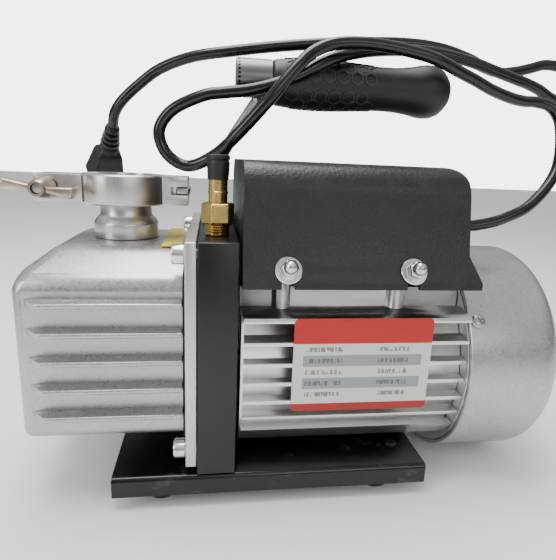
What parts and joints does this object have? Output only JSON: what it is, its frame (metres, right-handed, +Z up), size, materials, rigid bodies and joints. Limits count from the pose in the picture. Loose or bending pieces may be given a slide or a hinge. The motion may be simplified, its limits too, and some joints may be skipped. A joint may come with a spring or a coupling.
{
  "type": "rotary vane vacuum pump",
  "caption": "Portable rotary vane vacuum pump: finned oil casing, ribbed motor with fan cover, capacitor box, clamped port, capped brass inlet, carrying grip and cord.",
  "frame": {"origin": "on the floor under the middle of the pump, cord and plug left out", "axes": "+Z up, +X along the motor shaft from the oil casing to the fan cover, +Y away from the nameplate side"},
  "size_m": [0.3363, 0.1541, 0.2524],
  "materials": {
    "grain_finish": "fine sparkle-grain silver paint",
    "alu_finish": "machined, satin",
    "extr_finish": "bright extruded",
    "steel_finish": "plain steel",
    "bright_finish": "bright plated",
    "nickel_finish": "nickel plated casting",
    "brass_finish": "turned brass",
    "blackp_finish": "gloss black paint",
    "block_finish": "satin black coating",
    "plastic_finish": "fine leather grain",
    "rubber_finish": "matt black",
    "iron_finish": "machined iron",
    "label_finish": "printed plate without lettering",
    "glass_finish": "clear sight glass"
  },
  "bodies": {
    "root": {"base_plate": "blackp_finish", "blank_flange": "alu_finish", "cap_nut_1": "bright_finish", "cap_nut_2": "bright_finish", "cap_nut_3": "bright_finish", "cap_nut_4": "bright_finish", "capacitor": "label_finish", "capacitor_cover": "plastic_finish", "casing_gasket": "rubber_finish", "centring_ring": "rubber_finish", "chamber_cover": "iron_finish", "clamp_front": "alu_finish", "clamp_link": "steel_finish", "clamp_rear": "alu_finish", "drain_plug": "brass_finish", "exhaust_valve": "steel_finish", "fan_cover": "grain_finish", "fan_cover_screw_1": "steel_finish", "fan_cover_screw_2": "steel_finish", "fan_cover_screw_3": "steel_finish", "flange_plate": "alu_finish", "front_bearing": "bright_finish", "handle_frame": "steel_finish", "handle_grip": "rubber_finish", "hinge_pin_1": "steel_finish", "hinge_pin_2": "steel_finish", "inlet_fitting": "brass_finish", "motor_housing": "extr_finish", "motor_stator": "iron_finish", "nameplate": "label_finish", "oil_casing": "grain_finish", "plate_screw_1": "bright_finish", "plate_screw_2": "bright_finish", "plate_screw_3": "bright_finish", "plate_screw_4": "bright_finish", "port_neck": "alu_finish", "power_cord": "rubber_finish", "power_plug": "rubber_finish", "pump_block": "block_finish", "pump_chamber": "iron_finish", "rear_bearing": "bright_finish", "rear_end_bell": "alu_finish", "rubber_foot_1": "rubber_finish", "rubber_foot_2": "rubber_finish", "rubber_foot_3": "rubber_finish", "rubber_foot_4": "rubber_finish", "shaft_seal": "rubber_finish", "sight_glass": "glass_finish", "strain_relief": "rubber_finish", "swing_bolt_pin": "steel_finish"},
    "rotor": {"drive_shaft": "bright_finish", "motor_rotor": "iron_finish", "cooling_fan": "plastic_finish", "pump_rotor": "steel_finish", "pump_vane_1": "plastic_finish", "pump_vane_2": "plastic_finish"},
    "inlet_cap": {"inlet_cap": "rubber_finish"},
    "swing_bolt": {"swing_bolt": "steel_finish"},
    "wing_nut": {"wing_nut": "nickel_finish"},
    "rocker": {"rocker_switch": "plastic_finish"}
  },
  "joints": [
    {"name": "rotor_spin", "type": "hinge", "parent": "root", "child": "rotor", "pos_m": [0, 0, 0.067], "axis": [1, 0, 0], "continuous": true},
    {"name": "inlet_cap_lift", "type": "slide", "parent": "root", "child": "inlet_cap", "axis": [0, 0, 1], "range_m": [0, 0.03]},
    {"name": "swing_bolt_swing", "type": "hinge", "parent": "root", "child": "swing_bolt", "pos_m": [-0.1315, 0.007, 0.16], "axis": [0, 0, -1], "range_deg": [0, 90]},
    {"name": "wing_nut_spin", "type": "hinge", "parent": "swing_bolt", "child": "wing_nut", "pos_m": [-0.1315, -0.02, 0.16], "axis": [0, -1, 0], "continuous": true},
    {"name": "power_switch_rock", "type": "hinge", "parent": "root", "child": "rocker", "pos_m": [0.0795, 0.026, 0.156], "axis": [0, 1, 0], "range_deg": [-7, 7]}
  ]
}
